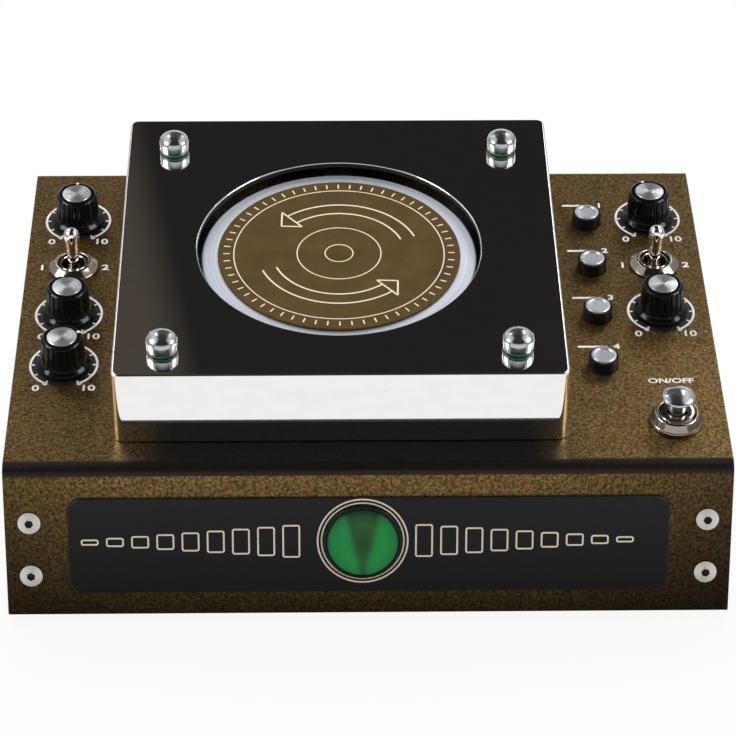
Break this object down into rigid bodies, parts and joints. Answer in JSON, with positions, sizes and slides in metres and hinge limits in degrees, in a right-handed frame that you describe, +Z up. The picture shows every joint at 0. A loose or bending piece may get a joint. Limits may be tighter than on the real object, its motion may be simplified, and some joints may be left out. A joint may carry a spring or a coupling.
{
  "type": "magnetic drum echo unit",
  "caption": "Wedge-shaped floor echo unit: a magnetic drum under a windowed polished cover, with knobs, toggles, push buttons and a footswitch on a sloping panel.",
  "frame": {"origin": "on the floor under the middle of the bounding box", "axes": "+X to the right across the panel, +Y from the front face to the sockets, +Z up"},
  "size_m": [0.24, 0.1642, 0.135],
  "materials": {
    "hammered_bronze": "hammered bronze powder coat",
    "zinc_steel": "zinc plated",
    "screw_steel": "nickel plated",
    "black_plate": "satin black anodised, cream print",
    "chrome": "polished",
    "drum_aluminium": "fine turned",
    "label": "printed bronze",
    "cast_aluminium": "as cast, machined faces",
    "rubber": "matte",
    "lens": "clear green",
    "black_plastic": "moulded",
    "cap": "satin silver plated",
    "board": "solder resist",
    "head_can": "ground"
  },
  "bodies": {
    "chassis": {"top_shell": "hammered_bronze", "left_end_plate": "hammered_bronze", "right_end_plate": "hammered_bronze", "base_plate": "zinc_steel", "name_plate": "black_plate", "lamp_holder": "black_plastic", "lamp_lens": "lens", "drum_cover": "chrome", "deck_plate": "cast_aluminium", "drive_motor": "zinc_steel", "main_board": "board", "playback_switch_board": "black_plastic", "footswitch_body": "zinc_steel", "footswitch_nut": "chrome", "input_jack": "black_plastic", "output_jack": "black_plastic", "power_inlet": "black_plastic", "foot_front_left": "rubber", "cover_nut_front_left": "chrome", "foot_back_left": "rubber", "cover_nut_back_left": "chrome", "shell_screw_left_upper": "screw_steel", "shell_screw_left_lower": "screw_steel", "left_toggle_switch": "zinc_steel", "left_toggle_nut": "chrome", "foot_front_right": "rubber", "cover_nut_front_right": "chrome", "foot_back_right": "rubber", "cover_nut_back_right": "chrome", "shell_screw_right_upper": "screw_steel", "shell_screw_right_lower": "screw_steel", "right_toggle_switch": "zinc_steel", "right_toggle_nut": "chrome", "left_rear_pot": "zinc_steel", "left_middle_pot": "zinc_steel", "left_front_pot": "zinc_steel", "right_rear_pot": "zinc_steel", "right_middle_pot": "zinc_steel", "playback_head_1": "head_can", "playback_head_2": "head_can", "playback_head_3": "head_can", "playback_head_4": "head_can", "erase_head": "head_can", "record_head": "head_can"},
    "drum": {"drum": "drum_aluminium", "drum_label": "label", "drum_spindle": "zinc_steel"},
    "drive_wheel": {"drive_wheel": "rubber"},
    "left_rear_knob": {"left_rear_knob": "black_plastic"},
    "left_middle_knob": {"left_middle_knob": "black_plastic"},
    "left_front_knob": {"left_front_knob": "black_plastic"},
    "right_rear_knob": {"right_rear_knob": "black_plastic"},
    "right_middle_knob": {"right_middle_knob": "black_plastic"},
    "left_toggle_lever": {"left_toggle_lever": "chrome"},
    "right_toggle_lever": {"right_toggle_lever": "chrome"},
    "playback_button_1": {"playback_button_1": "cap"},
    "playback_button_2": {"playback_button_2": "cap"},
    "playback_button_3": {"playback_button_3": "cap"},
    "playback_button_4": {"playback_button_4": "cap"},
    "footswitch_plunger": {"footswitch_button": "chrome"}
  },
  "joints": [
    {"name": "drum_spin", "type": "hinge", "parent": "chassis", "child": "drum", "pos_m": [-0.00915, -0.00572, 0.09747], "axis": [0, -0.3223, 0.9466], "continuous": true},
    {"name": "wheel_spin", "type": "hinge", "parent": "chassis", "child": "drive_wheel", "pos_m": [0.02404, -0.00524, 0.09605], "axis": [0, -0.3223, 0.9466], "continuous": true},
    {"name": "left_rear_knob_turn", "type": "hinge", "parent": "chassis", "child": "left_rear_knob", "pos_m": [-0.1031, 0.0472, 0.10493], "axis": [0, -0.3223, 0.9466], "range_deg": [-150, 150]},
    {"name": "left_middle_knob_turn", "type": "hinge", "parent": "chassis", "child": "left_middle_knob", "pos_m": [-0.1031, -0.00392, 0.08752], "axis": [0, -0.3223, 0.9466], "range_deg": [-169, 131]},
    {"name": "left_front_knob_turn", "type": "hinge", "parent": "chassis", "child": "left_front_knob", "pos_m": [-0.1031, -0.03005, 0.07863], "axis": [0, -0.3223, 0.9466], "range_deg": [-85, 215]},
    {"name": "right_rear_knob_turn", "type": "hinge", "parent": "chassis", "child": "right_rear_knob", "pos_m": [0.1031, 0.0472, 0.10493], "axis": [0, -0.3223, 0.9466], "range_deg": [-170, 130]},
    {"name": "right_middle_knob_turn", "type": "hinge", "parent": "chassis", "child": "right_middle_knob", "pos_m": [0.1031, -0.00392, 0.08752], "axis": [0, -0.3223, 0.9466], "range_deg": [-138, 162]},
    {"name": "left_toggle_throw", "type": "hinge", "parent": "chassis", "child": "left_toggle_lever", "pos_m": [-0.1031, 0.02381, 0.08798], "axis": [0, 0.9466, 0.3223], "range_deg": [-12, 12]},
    {"name": "right_toggle_throw", "type": "hinge", "parent": "chassis", "child": "right_toggle_lever", "pos_m": [0.1031, 0.02381, 0.08798], "axis": [0, 0.9466, 0.3223], "range_deg": [-12, 12]},
    {"name": "playback_button_1_press", "type": "slide", "parent": "chassis", "child": "playback_button_1", "axis": [0, 0.3223, -0.9466], "range_m": [0, 0.0015], "stiffness_N_per_m": 400, "springref_m": -0.0005},
    {"name": "playback_button_2_press", "type": "slide", "parent": "chassis", "child": "playback_button_2", "axis": [0, 0.3223, -0.9466], "range_m": [0, 0.0015], "stiffness_N_per_m": 400, "springref_m": -0.0005},
    {"name": "playback_button_3_press", "type": "slide", "parent": "chassis", "child": "playback_button_3", "axis": [0, 0.3223, -0.9466], "range_m": [0, 0.0015], "stiffness_N_per_m": 400, "springref_m": -0.0005},
    {"name": "playback_button_4_press", "type": "slide", "parent": "chassis", "child": "playback_button_4", "axis": [0, 0.3223, -0.9466], "range_m": [0, 0.0015], "stiffness_N_per_m": 400, "springref_m": -0.0005},
    {"name": "footswitch_press", "type": "slide", "parent": "chassis", "child": "footswitch_plunger", "axis": [0, 0.3223, -0.9466], "range_m": [0, 0.004], "stiffness_N_per_m": 1500, "springref_m": -0.001}
  ],
  "couplings": [
    {"joint": "wheel_spin", "follows": "drum_spin", "ratio": 4.717}
  ]
}
